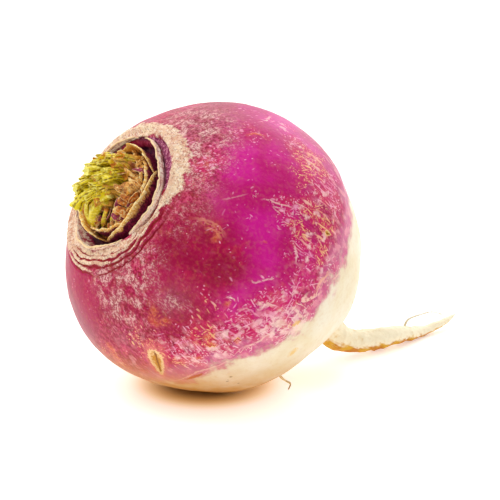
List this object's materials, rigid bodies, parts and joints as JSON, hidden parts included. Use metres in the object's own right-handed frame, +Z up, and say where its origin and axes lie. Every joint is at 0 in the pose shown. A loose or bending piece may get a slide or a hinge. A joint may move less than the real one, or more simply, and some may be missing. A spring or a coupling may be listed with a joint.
{
  "type": "turnip",
  "caption": "Purple-top turnip lying on its side, with trimmed leaf stalks on the crown and a thin curved taproot.",
  "frame": {"origin": "middle of the small flat spot on the belly that the bulb rests on", "axes": "+X along the ground from the crown end towards the tip of the taproot, +Y to the turnip's left seen from the crown, +Z up"},
  "size_m": [0.1309, 0.0854, 0.0834],
  "materials": {
    "skin": "waxy skin, purple above and cream below, corky and dull at the crown",
    "stalk": "fresh green leaf stalks, cut and drying at the tips",
    "dry_leaf_base": "dry, papery and torn",
    "torn_rim": "pale dry skin, torn at the edge"
  },
  "bodies": {
    "root": {"turnip_root": "skin", "leaf_stalk_01": "stalk", "leaf_stalk_02": "stalk", "leaf_stalk_03": "stalk", "leaf_stalk_04": "stalk", "leaf_stalk_05": "stalk", "leaf_stalk_06": "stalk", "leaf_stalk_07": "stalk", "leaf_stalk_08": "stalk", "leaf_stalk_09": "stalk", "leaf_stalk_10": "stalk", "leaf_stalk_11": "stalk", "leaf_stalk_12": "stalk", "leaf_stalk_13": "stalk", "leaf_stalk_14": "stalk", "leaf_stalk_15": "stalk", "leaf_stalk_16": "stalk", "outer_leaf_base_1": "dry_leaf_base", "outer_leaf_base_2": "dry_leaf_base", "outer_leaf_base_3": "dry_leaf_base", "middle_leaf_base_1": "dry_leaf_base", "middle_leaf_base_2": "dry_leaf_base", "middle_leaf_base_3": "dry_leaf_base", "inner_leaf_base_1": "dry_leaf_base", "inner_leaf_base_2": "dry_leaf_base", "torn_rim_1": "torn_rim", "torn_rim_2": "torn_rim", "torn_rim_3": "torn_rim"}
  },
  "joints": []
}
